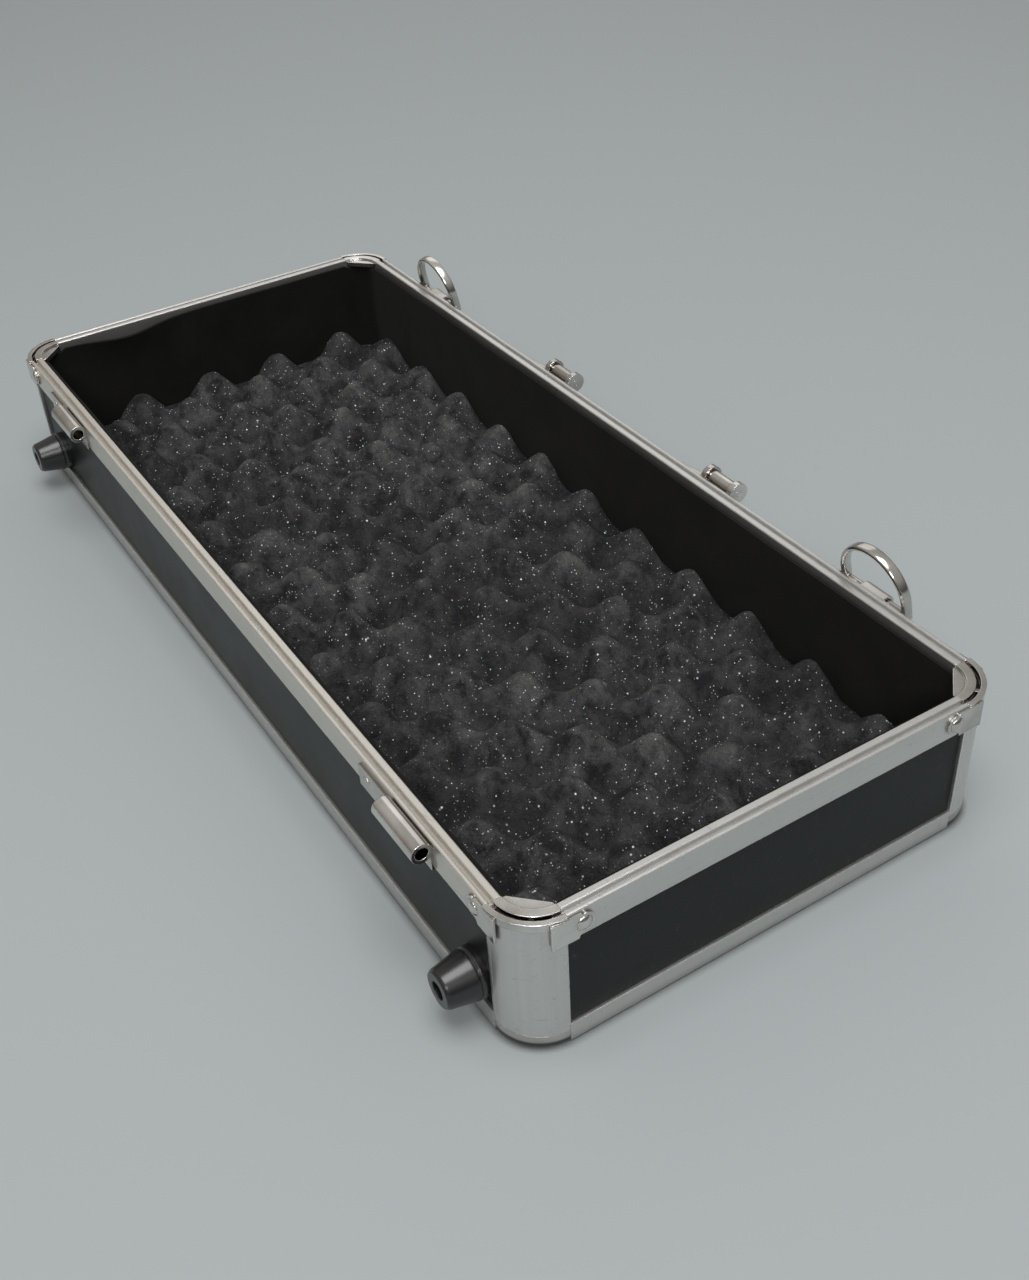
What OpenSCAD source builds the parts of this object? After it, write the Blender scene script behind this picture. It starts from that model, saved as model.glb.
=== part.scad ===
// Pedal case, lower half, standing open with its lid lifted off.
// Black laminated boards are held in aluminium extrusions. Pressed steel corners tie the rim,
// rolled hinge knuckles take the lid's pins, hasps and strap rings hang on the other long side,
// and a pad of egg-crate foam fills the floor.
// Origin: centre of the footprint on the floor. X runs along the case, the front (-Y) has the
// hasps and strap rings, the back (+Y) has the hinges and the rubber feet.

/* [Case] */
// Outer length of the case, over the aluminium
case_length = 500; // [420:1:620]
// Outer width of the case, over the aluminium
case_width = 213; // [190:1:320]
// Outer height from the floor to the top of the rim
case_height = 63; // [58:1:90]
// Outer radius of the four upright corners
corner_radius = 19; // [17:0.5:24]
// Wall of the aluminium profiles
profile_wall = 1.4; // [1.2:0.1:1.8]
// Thickness of the laminated boards
board_thickness = 4; // [3:0.5:5]

/* [Rim profile] */
// Height of the rim's outer flange
rim_flange_height = 12.2; // [11:0.2:14]
// Height of the rim's inner flange
rim_inner_height = 8; // [6:0.5:10]
// Wall of the rim's inner flange
rim_inner_wall = 1.1; // [0.8:0.1:1.4]
// Width of the outer lip on top of the rim
outer_lip_width = 1.8; // [1.5:0.1:2.2]
// Width of the groove that the lid's tongue enters
groove_width = 1.7; // [1.4:0.1:2]
// Depth of that groove
groove_depth = 2; // [1.5:0.1:2.4]

/* [Bottom edge] */
// Height of the bottom edge profile's upright leg
edge_leg_height = 9; // [8:0.5:11]
// Width of the leg that lies under the floor board
edge_leg_width = 11; // [9:0.5:14]
// Height of the pressed cap on each bottom corner
cap_height = 6.4; // [5.5:0.1:8]
// Rounding of the cap's lower edge
cap_rounding = 3.6; // [2:0.2:4.5]

/* [Rim corners] */
// How far the pressed corner stands proud of the aluminium
corner_sheet = 0.8; // [0.6:0.1:1]
// Distance from the outer corner to where a corner ear starts
ear_start = 12.5; // [11.5:0.5:13]
// Distance from the outer corner to the rivet in the ear
ear_rivet_reach = 25; // [24.5:0.5:27]
// Radius of the ear round its rivet
ear_radius = 4.4; // [4:0.1:4.8]
// Radius of a corner rivet's head
corner_rivet_radius = 3.1; // [2.4:0.1:3.5]
// Height of a corner rivet's domed head
corner_rivet_height = 1.3; // [0.9:0.1:1.6]

/* [Lining and foam] */
// Thickness of the lining on the inner walls
lining_thickness = 1.2; // [0.8:0.1:2]
// Distance between the top of the lining and the top of the rim
lining_drop = 2.4; // [1.5:0.1:4]
// Height of the foam's peaks above the floor board
foam_peak = 25; // [18:1:30]
// Height of the foam's hollows above the floor board
foam_valley = 7; // [5:1:12]
// Distance between two peaks in one row of the foam
foam_pitch = 41.2; // [36:0.2:50]
// Gap between the foam and the lining
foam_gap = 0.5; // [0.3:0.1:2]

/* [Hinge halves] */
// Distance from the left end to the left hinge half
hinge_left_reach = 52; // [45:1:90]
// Distance from the right end to the far edge of the right hinge half
hinge_right_reach = 53; // [45:1:90]
// Length of a hinge leaf
hinge_leaf_length = 52; // [44:1:60]
// Length of the rolled knuckle
knuckle_length = 28; // [22:1:34]
// Outer radius of the knuckle
knuckle_radius = 4.2; // [3.8:0.1:4.6]
// Radius of the knuckle's bore, which takes the lid's pin
knuckle_bore_radius = 2.6; // [2.2:0.05:2.8]
// Height of the knuckle's axis below the top of the rim
knuckle_drop = 3; // [2.5:0.1:4]
// Thickness of the hinge leaf
hinge_sheet = 1.2; // [1:0.1:1.5]

/* [Latches] */
// Distance from the left end to the left latch
latch_left_reach = 160; // [140:1:175]
// Distance from the left end to the right latch
latch_right_reach = 288; // [270:1:310]
// Length of the barrel between a latch's ears
hasp_barrel_length = 15; // [12:0.5:18]
// Thickness of each ear
latch_ear_thickness = 3; // [2:0.1:3.5]
// Length of the tail beside the far ear
latch_tail_length = 15; // [12:0.5:18]
// Radius of the ears and distance of the pin from the rim
latch_ear_radius = 4.8; // [4.6:0.1:5.4]
// Thickness of the latch's base plate
latch_sheet = 1.3; // [1:0.1:1.5]
// Radius of the hasp's rolled barrel
hasp_barrel_radius = 3.4; // [3.2:0.05:3.45]
// Radius of the latch's pin
latch_pin_radius = 1.5; // [1.2:0.1:1.8]
// Length of the hasp below its pin
hasp_length = 31; // [26:0.5:36]
// Thickness of the hasp's sheet
hasp_sheet = 1.4; // [1.2:0.1:1.7]

/* [Strap rings] */
// Distance from each end of the case to its strap ring
ring_reach = 74; // [64:1:95]
// Outer width of the ring
ring_width = 37; // [34:0.5:44]
// Outer height of the ring above its pivot
ring_height = 25; // [24:0.5:32]
// Width of the ring's strap, across the ring
ring_strap_width = 3.6; // [3.4:0.1:5]
// Thickness of the ring's strap
ring_strap_thickness = 2; // [1.6:0.1:2.6]
// Radius of the ring's straight bar
ring_bar_radius = 1.6; // [1.4:0.05:1.7]
// Lean of the ring towards the case, in degrees
ring_lean = 12; // [0:1:20]
// Distance of the ring's bar from the rim
ring_offset = 6.2; // [6:0.1:7]
// Height of the ring's bar below the top of the rim
ring_drop = 6; // [5.5:0.1:6.4]
// Length of the bracket's plate
bracket_length = 42; // [40:0.5:48]
// Width of the bracket's arch
arch_width = 13; // [10:0.5:16]
// Thickness of the bracket's sheet
bracket_sheet = 1.2; // [1:0.1:1.4]

/* [Feet] */
// Distance from the left end to the left foot
foot_left_reach = 30; // [29.5:0.5:34]
// Distance from the right end to the right foot
foot_right_reach = 41; // [35:1:60]
// Radius of a foot at its base
foot_base_radius = 9.8; // [8:0.1:10]
// Radius of a foot at its tip
foot_tip_radius = 6.8; // [5:0.1:7.5]
// Height of a foot
foot_height = 16; // [13:0.5:19]
// Radius of the hollow in the tip
foot_hollow_radius = 3.6; // [3.3:0.1:4]

/* [Hidden] */
$fn = 48;

aluminium = [0.66, 0.65, 0.62];
chrome = [0.78, 0.78, 0.77];
laminate = [0.09, 0.10, 0.10];
velvet = [0.05, 0.05, 0.05];
foam_grey = [0.16, 0.16, 0.18];
rubber = [0.06, 0.06, 0.06];

half_length = case_length / 2;
half_width = case_width / 2;
// Boards run between the upright corners and stand inside the rim's channel
board_face = profile_wall;
board_back = profile_wall + board_thickness;
board_top = case_height - groove_depth - profile_wall;
rim_width = board_back + rim_inner_wall;
floor_top = profile_wall + board_thickness;
straight_x = half_length - corner_radius;
straight_y = half_width - corner_radius;
lining_top = case_height - lining_drop;
inner_face = rim_width + lining_thickness;
fit_gap = 0.3;
round_gap = 0.05;
// How far a cut runs past the surface that it opens
past = 1;

// Turns a shape drawn for the front wall to another wall. Drawn with y as the depth from the
// outer face and x along the wall.
module on_front() translate([0, -half_width, 0]) children();
module on_back() rotate(180) translate([0, -half_width, 0]) children();
module on_left() rotate(-90) translate([0, -half_length, 0]) children();
module on_right() rotate(90) translate([0, -half_length, 0]) children();

// Puts a quarter shape, drawn round the origin in the +x +y quadrant, at a corner of the case
module at_corner(side_x, side_y)
    translate([side_x * straight_x, side_y * straight_y, 0])
        mirror([side_x < 0 ? 1 : 0, 0, 0]) mirror([0, side_y < 0 ? 1 : 0, 0]) children();

// Bar with the profile drawn in (depth, height), running along x over a length
module along_wall(length)
    translate([length / 2, 0, 0]) rotate([90, 0, -90])
        linear_extrude(length) mirror([1, 0]) children();

// Section of the rim: outer flange, two lips with a groove between, and inner flange
module rim_section() {
    lip_edge = 0.4;
    polygon([
        [0, case_height - rim_flange_height],
        [0, case_height - lip_edge],
        [lip_edge, case_height],
        [outer_lip_width - lip_edge, case_height],
        [outer_lip_width, case_height - lip_edge],
        [outer_lip_width, case_height - groove_depth],
        [outer_lip_width + groove_width, case_height - groove_depth],
        [outer_lip_width + groove_width, case_height - lip_edge],
        [outer_lip_width + groove_width + lip_edge, case_height],
        [rim_width - lip_edge, case_height],
        [rim_width, case_height - lip_edge],
        [rim_width, case_height - rim_inner_height],
        [board_back, case_height - rim_inner_height],
        [board_back, board_top],
        [board_face, board_top],
        [board_face, case_height - rim_flange_height]
    ]);
}

module rim(length) color(aluminium) along_wall(length) rim_section();
module rim_front() on_front() rim(2 * straight_x);
module rim_back() on_back() rim(2 * straight_x);
module rim_left() on_left() rim(2 * straight_y);
module rim_right() on_right() rim(2 * straight_y);

// Section of the bottom edge: an upright leg outside the board and a flat leg under the floor
module edge_section() {
    rounding = 0.8;
    difference() {
        square([edge_leg_width, edge_leg_height]);
        translate([board_face, profile_wall]) square([edge_leg_width, edge_leg_height]);
        difference() {
            square(rounding);
            translate([rounding, rounding]) circle(rounding);
        }
    }
}

module bottom_edge(length) color(aluminium) along_wall(length) edge_section();
module bottom_edge_front() on_front() bottom_edge(2 * straight_x);
module bottom_edge_back() on_back() bottom_edge(2 * straight_x);
module bottom_edge_left() on_left() bottom_edge(2 * straight_y);
module bottom_edge_right() on_right() bottom_edge(2 * straight_y);

// Quarter of a ring between two radii
module quarter_ring(inner, outer, height)
    rotate_extrude(angle = 90) translate([inner, 0]) square([outer - inner, height]);

// Upright corner extrusion: round outer skin, round inner skin and two webs the boards butt on
module corner_post() {
    color(aluminium) translate([0, 0, cap_height]) {
        height = board_top - cap_height;
        quarter_ring(corner_radius - profile_wall, corner_radius, height);
        quarter_ring(corner_radius - rim_width, corner_radius - board_back, height);
        for (swap = [0, 1]) mirror([swap, -swap, 0])
            translate([corner_radius - rim_width, 0, 0])
                cube([rim_width, profile_wall, height]);
    }
}
module corner_post_front_left() at_corner(-1, -1) corner_post();
module corner_post_front_right() at_corner(1, -1) corner_post();
module corner_post_back_left() at_corner(-1, 1) corner_post();
module corner_post_back_right() at_corner(1, 1) corner_post();

// Part of a ring, from one angle to another
module arc_bar(from, to, inner, outer, low, high)
    rotate([0, 0, from]) rotate_extrude(angle = to - from)
        translate([inner, low]) square([outer - inner, high - low]);

// The ears stand a little proud of the round lip, so that the two don't meet in a hair line
ear_sheet = corner_sheet + 0.15;

// Flat ear in (distance from the outer corner, height) that a rivet holds to the rim's flange
module ear_outline() {
    top = case_height - groove_depth / 2;
    bottom = case_height - rim_flange_height;
    rivet_z = case_height - rim_flange_height / 2;
    scallop = 2;
    difference() {
        union() {
            translate([ear_start, bottom]) square([ear_rivet_reach - ear_start, top - bottom]);
            translate([ear_rivet_reach, rivet_z]) circle(ear_radius);
        }
        translate([ear_rivet_reach, bottom]) circle(scallop);
        translate([ear_rivet_reach, top]) circle(scallop / 2);
        translate([ear_rivet_reach, rivet_z]) circle(corner_rivet_radius / 2);
    }
}

// Pressed corner of the rim: two round lips with a slotted groove between them, a flat web
// across the inside of the corner, and an ear on each flange
module rim_corner() {
    lip = 2.1;
    slot_side = 0.15;
    slot_spans = [[12, 34], [40, 84]];
    web_chamfer = 11;
    web_overlap = 0.5;
    web_drop = 0.9;
    outer = corner_radius + corner_sheet;
    groove_outer = outer - lip;
    groove_inner = groove_outer - groove_width;
    inner = corner_radius - rim_width;
    web_height = case_height - web_drop - board_top;
    color(chrome) {
        difference() {
            arc_bar(0, 90, inner, outer, board_top, case_height);
            arc_bar(-past, 90 + past, groove_inner, groove_outer,
                case_height - groove_depth, case_height + past);
            for (span = slot_spans)
                arc_bar(span[0], span[1], groove_inner + slot_side, groove_outer - slot_side,
                    board_top - past, case_height);
        }
        intersection() {
            translate([0, 0, board_top]) cylinder(r = inner + web_overlap, h = web_height);
            translate([0, 0, board_top]) linear_extrude(web_height) polygon([
                [web_chamfer, 0], [corner_radius, 0], [corner_radius, corner_radius],
                [0, corner_radius], [0, web_chamfer]
            ]);
        }
        for (swap = [0, 1]) mirror([swap, -swap, 0])
            translate([corner_radius, corner_radius, 0]) rotate([90, 0, -90])
                translate([0, 0, -ear_sheet]) linear_extrude(ear_sheet) ear_outline();
    }
}
module rim_corner_front_left() at_corner(-1, -1) rim_corner();
module rim_corner_front_right() at_corner(1, -1) rim_corner();
module rim_corner_back_left() at_corner(-1, 1) rim_corner();
module rim_corner_back_right() at_corner(1, 1) rim_corner();

// Pressed cap over each bottom corner, with a rounded lower edge
module bottom_cap() {
    color(chrome) rotate_extrude(angle = 90) difference() {
        union() {
            translate([0, cap_rounding]) square([corner_radius, cap_height - cap_rounding]);
            square([corner_radius - cap_rounding, cap_rounding]);
            intersection() {
                translate([corner_radius - cap_rounding, cap_rounding]) circle(cap_rounding);
                translate([corner_radius - cap_rounding, 0]) square(cap_rounding);
            }
        }
        inner_rounding = cap_rounding - profile_wall;
        translate([0, cap_rounding]) square([corner_radius - profile_wall, cap_height]);
        translate([0, profile_wall]) square([corner_radius - cap_rounding, cap_height]);
        intersection() {
            translate([corner_radius - cap_rounding, cap_rounding]) circle(inner_rounding);
            translate([corner_radius - cap_rounding, 0]) square(cap_rounding);
        }
    }
}
module bottom_cap_front_left() at_corner(-1, -1) bottom_cap();
module bottom_cap_front_right() at_corner(1, -1) bottom_cap();
module bottom_cap_back_left() at_corner(-1, 1) bottom_cap();
module bottom_cap_back_right() at_corner(1, 1) bottom_cap();

// Laminated side boards
module panel(length) {
    color(laminate) translate([-length / 2, board_face, profile_wall])
        cube([length, board_thickness, board_top - profile_wall]);
}
module panel_front() on_front() panel(2 * straight_x);
module panel_back() on_back() panel(2 * straight_x);
module panel_left() on_left() panel(2 * straight_y);
module panel_right() on_right() panel(2 * straight_y);

// Floor board between the side boards, with its corners rounded to the inner radius
module floor_board() {
    radius = corner_radius - board_back;
    color(laminate) translate([0, 0, profile_wall]) linear_extrude(board_thickness) union() {
        square([2 * straight_x, case_width - 2 * board_back], center = true);
        square([case_length - 2 * board_back, 2 * straight_y], center = true);
        for (x = [-1, 1], y = [-1, 1]) translate([x * straight_x, y * straight_y]) circle(radius);
    }
}

// Lining glued inside the side boards, in front of the rim's inner flange
module lining(length) {
    color(velvet) translate([-length / 2, rim_width, floor_top])
        cube([length, lining_thickness, lining_top - floor_top]);
}
module lining_front() on_front() lining(2 * straight_x);
module lining_back() on_back() lining(2 * straight_x);
module lining_left() on_left() lining(2 * straight_y);
module lining_right() on_right() lining(2 * straight_y);

// Egg-crate foam: peaks in rows, with each row shifted half a pitch against the next. Its corners
// are cut round to clear the corner posts.
foam_length = case_length - 2 * (inner_face + foam_gap);
foam_width = case_width - 2 * (inner_face + foam_gap);
foam_turn = corner_radius - rim_width - foam_gap;
foam_shift_x = -4.5;
foam_shift_y = -6.1;
foam_step = foam_pitch / 6;
foam_spare = 0.25;
foam_sharpness = 1.5;
foam_first_x = floor((-foam_length / 2 - foam_shift_x) / foam_step + foam_spare);
foam_first_y = floor((-foam_width / 2 - foam_shift_y) / foam_step + foam_spare);
foam_columns = ceil((foam_length / 2 - foam_shift_x) / foam_step - foam_spare) - foam_first_x;
foam_rows = ceil((foam_width / 2 - foam_shift_y) / foam_step - foam_spare) - foam_first_y;
function foam_line(i, last, first, shift, size) =
    i == 0 ? -size / 2 : i == last ? size / 2 : shift + (first + i) * foam_step;
// Grid point in plan, pulled in to the round corner where it lies outside it
function foam_plan(i, j) =
    let (
        x = foam_line(i, foam_columns, foam_first_x, foam_shift_x, foam_length),
        y = foam_line(j, foam_rows, foam_first_y, foam_shift_y, foam_width),
        beyond = [abs(x) - straight_x, abs(y) - straight_y],
        outside = beyond[0] > 0 && beyond[1] > 0 && norm(beyond) > foam_turn,
        pulled = beyond * foam_turn / norm(beyond)
    )
    outside ? [sign(x) * (straight_x + pulled[0]), sign(y) * (straight_y + pulled[1])] : [x, y];
function foam_wave(place) = cos(360 * (place[0] - foam_shift_x) / foam_pitch)
    * cos(360 * (place[1] - foam_shift_y) / foam_pitch);
function foam_top(place) = concat(place, floor_top + foam_valley
    + (foam_peak - foam_valley) * pow((1 + foam_wave(place)) / 2, foam_sharpness));
module egg_crate_foam() {
    row = foam_rows + 1;
    top = [for (i = [0 : foam_columns]) for (j = [0 : foam_rows]) foam_top(foam_plan(i, j))];
    // Each square is split between the two corners that lie nearest in height
    skin = [for (i = [0 : foam_columns - 1]) for (j = [0 : foam_rows - 1]) for (half = [0, 1])
        let (
            a = i * row + j,
            b = a + 1,
            c = a + row + 1,
            d = a + row,
            along = abs(top[a][2] - top[c][2]) <= abs(top[b][2] - top[d][2])
        )
        along ? (half == 0 ? [a, b, c] : [a, c, d]) : (half == 0 ? [a, b, d] : [b, c, d])];
    rim_points = concat(
        [for (i = [0 : foam_columns - 1]) i * row],
        [for (j = [0 : foam_rows - 1]) foam_columns * row + j],
        [for (i = [foam_columns : -1 : 1]) i * row + foam_rows],
        [for (j = [foam_rows : -1 : 1]) j]
    );
    count = len(rim_points);
    first = len(top);
    base = [for (point = rim_points) [top[point][0], top[point][1], floor_top]];
    sides = [for (k = [0 : count - 1])
        let (next = (k + 1) % count)
        [rim_points[k], rim_points[next], first + next, first + k]];
    bottom = [for (k = [0 : count - 1]) [first + count, first + k, first + (k + 1) % count]];
    color(foam_grey) polyhedron(
        points = concat(top, base, [[0, 0, floor_top]]),
        faces = concat(skin, sides, bottom)
    );
}

// Hinge half for a lift-off lid: leaf on the rim's flange and a rolled knuckle, open at the left.
// Drawn on the back wall with x measured from the left end of the case.
knuckle_z = case_height - knuckle_drop;
small_rivet_radius = 2.1;
hinge_rivet_inset = 6;
hinge_rivet_places = [knuckle_length + hinge_rivet_inset, hinge_leaf_length - hinge_rivet_inset];
hinge_rivet_z = case_height - rim_flange_height / 2 - 1;
hinge_right_start = case_length - hinge_right_reach - hinge_leaf_length;
module on_back_at(reach) translate([reach - half_length, half_width, 0]) children();
module x_rod(radius, length) rotate([0, 90, 0]) cylinder(r = radius, h = length);
// Hole for a small rivet through a sheet on the wall, at a place along it and a height
module rivet_hole(x, z) translate([x, 0, z]) rotate([-90, 0, 0])
    cylinder(r = small_rivet_radius / 2, h = 4, center = true);
module hinge_half() {
    leaf_overhang = 0.4;
    leaf_bottom = case_height - rim_flange_height - leaf_overhang;
    color(chrome) difference() {
        union() {
            translate([0, 0, leaf_bottom])
                cube([hinge_leaf_length, hinge_sheet, knuckle_z - leaf_bottom]);
            translate([0, knuckle_radius, knuckle_z]) x_rod(knuckle_radius, knuckle_length);
        }
        translate([-past, knuckle_radius, knuckle_z])
            x_rod(knuckle_bore_radius, knuckle_length + 2 * past);
        for (x = hinge_rivet_places) rivet_hole(x, hinge_rivet_z);
    }
}
module hinge_half_left() on_back_at(hinge_left_reach) hinge_half();
module hinge_half_right() on_back_at(hinge_right_start) hinge_half();

// Latch: base plate with two ears on the front flange, a ramped tail beside the far ear, and a
// pin through the ears that the hasp hangs on. Drawn on the front wall, where -y points outwards.
latch_top = case_height - 1;
latch_axis_z = latch_top;
latch_axis_y = -latch_ear_radius;
latch_width = hasp_barrel_length + 2 * latch_ear_thickness;
latch_bottom = case_height - rim_flange_height - 0.2;
latch_rivet_z = case_height - rim_flange_height + 3;
latch_rivet_places = [latch_width / 2, latch_width + latch_tail_length - 4];
module on_front_at(reach) translate([reach - half_length, -half_width, 0]) children();
module latch_plate() {
    ear_bottom = latch_bottom + 4;
    ramp_height = 5;
    ramp_top = 3.6;
    ramp_middle = 2.2;
    color(chrome) difference() {
        union() {
            translate([0, -latch_sheet, latch_bottom])
                cube([latch_width + latch_tail_length, latch_sheet, latch_top - latch_bottom]);
            for (x = [0, latch_width - latch_ear_thickness]) translate([x, latch_axis_y, 0]) {
                translate([0, 0, latch_axis_z]) x_rod(latch_ear_radius, latch_ear_thickness);
                translate([0, 0, ear_bottom])
                    cube([latch_ear_thickness, latch_ear_radius, latch_axis_z - ear_bottom]);
            }
            translate([latch_width, 0, latch_top - ramp_height]) linear_extrude(ramp_height)
                polygon([
                    [0, -latch_sheet], [0, -ramp_top], [latch_tail_length / 2, -ramp_middle],
                    [latch_tail_length - 1, -latch_sheet]
                ]);
        }
        translate([-past, latch_axis_y, latch_axis_z])
            x_rod(latch_pin_radius, latch_width + 2 * past);
        for (x = latch_rivet_places) rivet_hole(x, latch_rivet_z);
    }
}
module latch_pin() {
    color(chrome) translate([0, latch_axis_y, latch_axis_z]) x_rod(latch_pin_radius, latch_width);
}

// Hasp: rolled barrel on the pin and a leaf with a window for the lid's catch and a finger lip
hasp_face = latch_axis_y - hasp_barrel_radius;
window_width = 8;
window_height = 6;
window_drop = 17;
module latch_hasp() {
    length = hasp_barrel_length - 2 * fit_gap;
    lip_radius = 1.6;
    hasp_bottom = latch_axis_z - hasp_length;
    window_bottom = latch_axis_z - window_drop - window_height;
    color(chrome) translate([latch_ear_thickness + fit_gap, 0, 0]) difference() {
        union() {
            translate([0, latch_axis_y, latch_axis_z]) x_rod(hasp_barrel_radius, length);
            translate([0, hasp_face, hasp_bottom]) {
                cube([length, hasp_sheet, hasp_length]);
                x_rod(lip_radius, length);
            }
        }
        translate([-past, latch_axis_y, latch_axis_z])
            x_rod(latch_pin_radius + round_gap, length + 2 * past);
        translate([(length - window_width) / 2, hasp_face - past, window_bottom])
            cube([window_width, hasp_sheet + 2 * past, window_height]);
    }
}
module latch_plate_left() on_front_at(latch_left_reach) latch_plate();
module latch_plate_right() on_front_at(latch_right_reach) latch_plate();
module latch_pin_left() on_front_at(latch_left_reach) latch_pin();
module latch_pin_right() on_front_at(latch_right_reach) latch_pin();
module latch_hasp_left() on_front_at(latch_left_reach) latch_hasp();
module latch_hasp_right() on_front_at(latch_right_reach) latch_hasp();

// Strap ring and its bracket, drawn round the ring's middle with y pointing into the case
ring_z = case_height - ring_drop;
bracket_low = case_height - rim_flange_height;
bracket_high = case_height - 1;
bracket_rivet_z = (bracket_low + bracket_high) / 2;
bracket_rivet_reach = arch_width / 2 + 4.5;
module ring_bracket() {
    arch_inner = ring_bar_radius + fit_gap;
    arch_outer = arch_inner + bracket_sheet;
    color(chrome) difference() {
        union() {
            translate([-bracket_length / 2, -bracket_sheet, bracket_low])
                cube([bracket_length, bracket_sheet, bracket_high - bracket_low]);
            translate([-arch_width / 2, -ring_offset, ring_z]) x_rod(arch_outer, arch_width);
            translate([-arch_width / 2, -ring_offset, ring_z - arch_outer])
                cube([arch_width, ring_offset, 2 * arch_outer]);
        }
        translate([-arch_width / 2 - past, -ring_offset, ring_z]) {
            x_rod(arch_inner, arch_width + 2 * past);
            translate([0, 0, -arch_inner])
                cube([arch_width + 2 * past, ring_offset - bracket_sheet, 2 * arch_inner]);
        }
        for (side = [-1, 1]) rivet_hole(side * bracket_rivet_reach, bracket_rivet_z);
    }
}
module strap_ring() {
    radius = ring_width / 2;
    leg = ring_height - radius;
    color(chrome) translate([0, -ring_offset, ring_z]) rotate([-ring_lean, 0, 0]) {
        translate([0, 0, leg]) rotate([90, 0, 0]) rotate_extrude(angle = 180)
            translate([radius - ring_strap_thickness, -ring_strap_width / 2])
                square([ring_strap_thickness, ring_strap_width]);
        for (side = [-1, 1]) translate([side * (radius - ring_strap_thickness / 2), 0, leg / 2])
            cube([ring_strap_thickness, ring_strap_width, leg], center = true);
        translate([-radius, 0, 0]) x_rod(ring_bar_radius, ring_width);
    }
}
module ring_bracket_left() on_front_at(ring_reach) ring_bracket();
module ring_bracket_right() on_front_at(case_length - ring_reach) ring_bracket();
module strap_ring_left() on_front_at(ring_reach) strap_ring();
module strap_ring_right() on_front_at(case_length - ring_reach) strap_ring();

// Rubber feet screwed to the back board, with a hollow in the tip for the screw's head
foot_clearance = 0.6;
foot_z = edge_leg_height + foot_base_radius + foot_clearance;
foot_floor = 5;
screw_radius = 1.8;
module foot_place(reach)
    translate([reach - half_length, half_width - board_face, foot_z]) rotate([-90, 0, 0]) children();
module rubber_foot() {
    base_ring = 2.6;
    groove = 0.7;
    shoulder = foot_base_radius - 0.2;
    tip_edge = [foot_tip_radius + 0.8, foot_height - 1.2];
    color(rubber) rotate_extrude() difference() {
        polygon([
            [0, 0], [foot_base_radius, 0], [foot_base_radius, base_ring],
            [foot_base_radius - groove, base_ring + groove], [shoulder, base_ring + 2 * groove],
            tip_edge, [foot_tip_radius, foot_height], [0, foot_height]
        ]);
        translate([0, foot_floor]) square([foot_hollow_radius, foot_height]);
        square([screw_radius, foot_height]);
    }
}
module rubber_foot_left() foot_place(foot_left_reach) rubber_foot();
module rubber_foot_right() foot_place(case_length - foot_right_reach) rubber_foot();
module foot_screws() {
    head_radius = 3.1;
    head_height = 2;
    color(chrome) for (reach = [foot_left_reach, case_length - foot_right_reach]) foot_place(reach) {
        cylinder(r = screw_radius, h = foot_floor);
        translate([0, 0, foot_floor]) cylinder(r = head_radius, h = head_height);
    }
}

// Rivet with a domed head: shank along +z up to the sheet, dome above it
module rivet(head_radius, head_height, shank) {
    sphere_radius = (head_radius * head_radius + head_height * head_height) / (2 * head_height);
    cylinder(r = head_radius / 2, h = shank);
    translate([0, 0, shank]) rotate_extrude() intersection() {
        translate([0, head_height - sphere_radius]) circle(sphere_radius, $fn = 96);
        square([head_radius, head_height]);
    }
}
module corner_rivets() {
    rivet_z = case_height - rim_flange_height / 2;
    reach = corner_radius - ear_rivet_reach;
    color(chrome) for (x = [-1, 1], y = [-1, 1]) at_corner(x, y) {
        translate([reach, corner_radius, rivet_z]) rotate([-90, 0, 0])
            rivet(corner_rivet_radius, corner_rivet_height, ear_sheet);
        translate([corner_radius, reach, rivet_z]) rotate([0, 90, 0])
            rivet(corner_rivet_radius, corner_rivet_height, ear_sheet);
    }
}
small_rivet_height = 0.6;
module small_rivet(sheet) rivet(small_rivet_radius, small_rivet_height, sheet);
module hinge_rivets() {
    color(chrome) for (reach = [hinge_left_reach, hinge_right_start])
        on_back_at(reach) for (x = hinge_rivet_places) translate([x, 0, hinge_rivet_z])
            rotate([-90, 0, 0]) small_rivet(hinge_sheet);
}
module latch_rivets() {
    color(chrome) for (reach = [latch_left_reach, latch_right_reach])
        on_front_at(reach) for (x = latch_rivet_places) translate([x, 0, latch_rivet_z])
            rotate([90, 0, 0]) small_rivet(latch_sheet);
}
module bracket_rivets() {
    color(chrome) for (reach = [ring_reach, case_length - ring_reach], side = [-1, 1])
        on_front_at(reach) translate([side * bracket_rivet_reach, 0, bracket_rivet_z])
            rotate([90, 0, 0]) small_rivet(bracket_sheet);
}

rim_front();
rim_back();
rim_left();
rim_right();
bottom_edge_front();
bottom_edge_back();
bottom_edge_left();
bottom_edge_right();
corner_post_front_left();
corner_post_front_right();
corner_post_back_left();
corner_post_back_right();
rim_corner_front_left();
rim_corner_front_right();
rim_corner_back_left();
rim_corner_back_right();
bottom_cap_front_left();
bottom_cap_front_right();
bottom_cap_back_left();
bottom_cap_back_right();
panel_front();
panel_back();
panel_left();
panel_right();
floor_board();
lining_front();
lining_back();
lining_left();
lining_right();
egg_crate_foam();
hinge_half_left();
hinge_half_right();
latch_plate_left();
latch_plate_right();
latch_pin_left();
latch_pin_right();
latch_hasp_left();
latch_hasp_right();
ring_bracket_left();
ring_bracket_right();
strap_ring_left();
strap_ring_right();
rubber_foot_left();
rubber_foot_right();
foot_screws();
corner_rivets();
hinge_rivets();
latch_rivets();
bracket_rivets();
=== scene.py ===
import math

import bmesh
import bpy
from mathutils import Euler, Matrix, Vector, noise


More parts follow.
